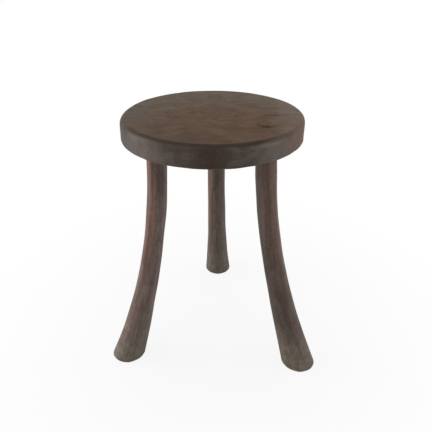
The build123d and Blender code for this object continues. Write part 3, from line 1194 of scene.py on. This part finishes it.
def leg_wood(billet):
    """Oiled hardwood of one billet, cut with a knife: satin above, and dull at the foot."""
    material, tree = new_material(f"oiled_hardwood_leg_{billet}")
    tones = BILLETS[billet]
    mm = in_millimetres(tree)
    height = add(tree, "SeparateXYZ", {0: mm}, output=2)
    straight = add(tree, "Attribute", output=1, attribute_name="straight_wood")
    # In millimetres, and turned so that the length of the wood lies along X.
    turned = add(
        tree, "Mapping",
        {"Vector": straight, "Rotation": (0, math.radians(90), 0), "Scale": (1 / MM, 1 / MM, 1 / MM)},
    )
    bent, rings, streaks, pores = figure(
        tree, turned, LEG_RING_WIDTH, warp_length=200, warp_width=30, warp_depth=6
    )
    low = FLOOR / MM
    climb = {"From Min": low + DUST_TOP, "From Max": low + DUST_WHOLE, "To Max": 0.9}
    dusty = add(tree, "MapRange", {"Value": height, **climb}, **SMOOTH)
    side = side_colour(tree, mm, straight, bent, dusty, tones)
    end = lay_over(tree, face_patina(tree, mm), [(1.0, tones["grey_end"], "#6c665e")])
    at_face = add(tree, "MapRange", {"Value": height, "From Min": END_BEGINS, "From Max": END_WHOLE})
    capped = add(tree, "Mix", {SHARE: at_face, FIRST: side, SECOND: end}, **COLOURS)
    # Painted light: a paler band on the side of the proud tenon, just above the face.
    above = add(tree, "MapRange", {"Value": height, **SIDE_BEGINS}, **SMOOTH)
    below = add(tree, "MapRange", {"Value": height, **SIDE_ENDS}, **SMOOTH)
    painted_light_side = add(tree, "Math", {0: above, 1: below}, operation="MULTIPLY")
    colour = lay_over(tree, capped, [
        (painted_light_side, 0.45, "#8f7860"),
        (rings, 0.18, "#271a15"),
        (streaks, 0.28, "#271a14"),
        (pores, 0.5, "#18100d"),
    ])
    dull = add(tree, "Math", {0: at_face, 1: 0.4, 2: dusty}, operation="MULTIPLY_ADD", use_clamp=True)
    rough = add(tree, "MapRange", {"Value": dull, "To Min": 0.48, "To Max": 0.8})
    shader = add(
        tree, "BsdfPrincipled",
        {"Base Color": colour, "Roughness": rough, "Specular IOR Level": LEG_SPECULAR,
         "Normal": grain_bump(tree, streaks, pores, depth=0.25 * MM)},
    )
    add(tree, "OutputMaterial", {"Surface": shader})
    return material


leg_finishes = {name: leg_wood(name) for name in LEGS}
print("Leg woods:", [material.name for material in leg_finishes.values()])

# %% [markdown]
# The wedges are of a denser wood with close fibres along their length. Only their pared ends
# can be seen, and these carry the patina of the face.

# %% Wedge wood
FIBRE_WIDTH, FIBRE_LENGTH = 0.5, 12.0
DARKER_END, PATINA_SHARE = 0.35, 0.85


def wedge_wood():
    """Dense hardwood, split, driven in and pared off with the face."""
    material, tree = new_material("dense_hardwood_wedge")
    mm = in_millimetres(tree)
    close = (1 / FIBRE_WIDTH, 1 / FIBRE_WIDTH, 1 / FIBRE_LENGTH)
    fibre_place = add(tree, "Mapping", {"Vector": mm, "Scale": close})
    fibre = add(tree, "TexNoise", {"Vector": fibre_place, "Scale": 1.0, "Detail": 2.0})
    raw = lay_over(tree, linear("#2a1f19"), [(fibre, 1.0, "#46362b")])
    pared = lay_over(tree, face_patina(tree, mm), [(1.0, DARKER_END, "#2c2018")])
    colour = add(tree, "Mix", {SHARE: PATINA_SHARE, FIRST: raw, SECOND: pared}, **COLOURS)
    shader = add(
        tree, "BsdfPrincipled",
        {"Base Color": colour, "Roughness": 0.6, "Specular IOR Level": SPECULAR,
         "Normal": add(tree, "Bump", {"Height": fibre, "Strength": 0.5, "Distance": 0.1 * MM})},
    )
    add(tree, "OutputMaterial", {"Surface": shader})
    return material


wedge_finish = wedge_wood()
print(wedge_finish.name, "nodes:", len(wedge_finish.node_tree.nodes))

# %% [markdown]
# ## Dress the frame
#
# Each carved piece takes the place of its CAD node, rides on the root body with the others,
# and takes its finish.

# %% Put the pieces on the frame
def dress(piece, node, material):
    """Gives a piece its finish and puts it in the place of a CAD node."""
    piece.data.materials.append(material)
    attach(piece, "root")
    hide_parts(node)


dress(seat_piece, "seat", seat_finish)
for name in LEGS:
    dress(leg_pieces[name], f"leg_{name}", leg_finishes[name])
    dress(wedge_pieces[name], f"wedge_{name}", wedge_finish)
print("Dressed nodes:", len(frame["nodes"]))

# %% [markdown]
# ## Studio
#
# Dark, satin wood shows its shape mostly by what it mirrors. Seen at a low angle, the face
# mirrors the white room behind it, and the rounded edge, which tips towards the viewer,
# doesn't: that is why the edge reads as a dark line, which the seat's colour also paints in
# as painted shade. Soft panels stand at both sides and overhead, and none on the viewer's
# side, which leaves the near faces dark.

# %% Floor, world and lamps
FLOOR_RADIUS, FLOOR_SIDES = 6.0, 96
WHITENS_FROM, WHITE_FROM = 0.2, 0.7  # metres from the axis
SEAT_MIDDLE = (0, 0, FACE)


def seen_directly(tree):
    """1 for rays from the camera and for rays in mirrors and glass, 0 for rays that carry light."""
    rays = add(tree, "LightPath").node.outputs
    mirrored = add(
        tree, "Math", {0: rays["Is Glossy Ray"], 1: rays["Is Transmission Ray"]}, operation="MAXIMUM"
    )
    return add(tree, "Math", {0: rays["Is Camera Ray"], 1: mirrored}, operation="MAXIMUM")


def make_floor():
    """A pale disc that fades to white away from the stool, and keeps the stool's shadow."""
    turn = np.linspace(0, 2 * np.pi, FLOOR_SIDES + 1)[:-1]
    level_rim = [FLOOR_RADIUS * np.cos(turn), FLOOR_RADIUS * np.sin(turn)]
    rim = np.stack([*level_rim, np.full(turn.shape, FLOOR)], axis=-1)
    mesh = bpy.data.meshes.new("studio_floor")
    mesh.from_pydata(rim.tolist(), [], [list(range(len(turn)))])
    floor = bpy.data.objects.new("studio_floor", mesh)
    bpy.context.scene.collection.objects.link(floor)
    material, tree = new_material("pale_floor")
    place = add(tree, "TexCoord", output=3)
    level = add(tree, "VectorMath", {0: place, 1: (1, 1, 0)}, operation="MULTIPLY")
    away = add(tree, "VectorMath", {0: level}, output=1, operation="LENGTH")
    fade = add(
        tree, "MapRange",
        {"Value": away, "From Min": WHITENS_FROM, "From Max": WHITE_FROM, "To Min": 0.88},
        **SMOOTH,
    )
    whiten = add(tree, "Math", {0: fade, 1: seen_directly(tree)}, operation="MULTIPLY")
    matt = add(tree, "BsdfDiffuse", {"Color": linear("#f1f0ee")})
    white = add(tree, "Emission", {"Color": (1, 1, 1, 1), "Strength": 1.0})
    surface = add(tree, "MixShader", {0: whiten, 1: matt, 2: white})
    add(tree, "OutputMaterial", {"Surface": surface})
    mesh.materials.append(material)


def make_world(light):
    """White where it is seen, and an even grey where it lights the stool."""
    world = bpy.data.worlds.new("white_room")
    bpy.context.scene.world = world
    world.use_nodes = True
    tree = world.node_tree
    tree.nodes.clear()
    room = add(tree, "Background", {"Color": (1, 1, 1, 1), "Strength": light})
    seen = add(tree, "Background", {"Color": (1, 1, 1, 1), "Strength": 1.0})
    mixed = add(tree, "MixShader", {0: seen_directly(tree), 1: room, 2: seen})
    add(tree, "OutputWorld", {"Surface": mixed})


def make_lamp(name, place, aim, size, watts):
    """A soft square panel at a place, turned to face a point."""
    data = bpy.data.lights.new(name, "AREA")
    data.shape = "SQUARE"
    data.size = size
    data.energy = watts
    lamp = bpy.data.objects.new(name, data)
    direction = Vector(aim) - Vector(place)
    lamp.matrix_world = Matrix.Translation(place) @ direction.to_track_quat("-Z", "Y").to_matrix().to_4x4()
    lamp.visible_camera = False
    bpy.context.scene.collection.objects.link(lamp)
    print(name, "watts:", watts)


make_floor()
make_world(light=0.4)
make_lamp("overhead_panel", (0, 0.3, FACE + 2.0), SEAT_MIDDLE, size=2.2, watts=20)
make_lamp("left_panel", (-1.7, 0.1, FACE), SEAT_MIDDLE, size=1.2, watts=22)
make_lamp("right_panel", (1.8, 0.3, FACE), SEAT_MIDDLE, size=1.2, watts=9)

# %% [markdown]
# ## Camera
#
# The viewer stands close and looks down at the stool, with the rear leg nearly behind the
# middle. The camera's place follows from the distance, height and bearing of the eye, and two
# small turns aim it.

# %% Camera
EYE_DISTANCE, EYE_HEIGHT = 701.3 * MM, 674.6 * MM  # from the seat's axis and above the floor
EYE_BEARING = math.radians(3.5)
LOOK_DOWN, LOOK_RIGHT = 0.531, 0.0085  # radians
FOCAL_PIXELS, FRAME_PIXELS = 432.7, 432  # focal length and width of the frame, in pixels
SENSOR = 36.0


def make_camera():
    """A camera at the viewer's eye, first placed in front and then walked round the stool."""
    data = bpy.data.cameras.new("eye")
    data.sensor_width = SENSOR
    data.lens = SENSOR * FOCAL_PIXELS / FRAME_PIXELS
    camera = bpy.data.objects.new("eye", data)
    bpy.context.scene.collection.objects.link(camera)
    place = Vector((0, -EYE_DISTANCE, FLOOR + EYE_HEIGHT))
    forward = Vector((
        math.sin(LOOK_RIGHT) * math.cos(LOOK_DOWN),
        math.cos(LOOK_RIGHT) * math.cos(LOOK_DOWN),
        -math.sin(LOOK_DOWN),
    ))
    facing = forward.to_track_quat("-Z", "Y").to_matrix().to_4x4()
    walk_round = Matrix.Rotation(EYE_BEARING, 4, "Z")
    camera.matrix_world = walk_round @ Matrix.Translation(place) @ facing
    bpy.context.scene.camera = camera
    print("Eye at, metres:", [round(value, 3) for value in camera.matrix_world.translation])


make_camera()
bpy.context.scene.view_settings.view_transform = "Standard"
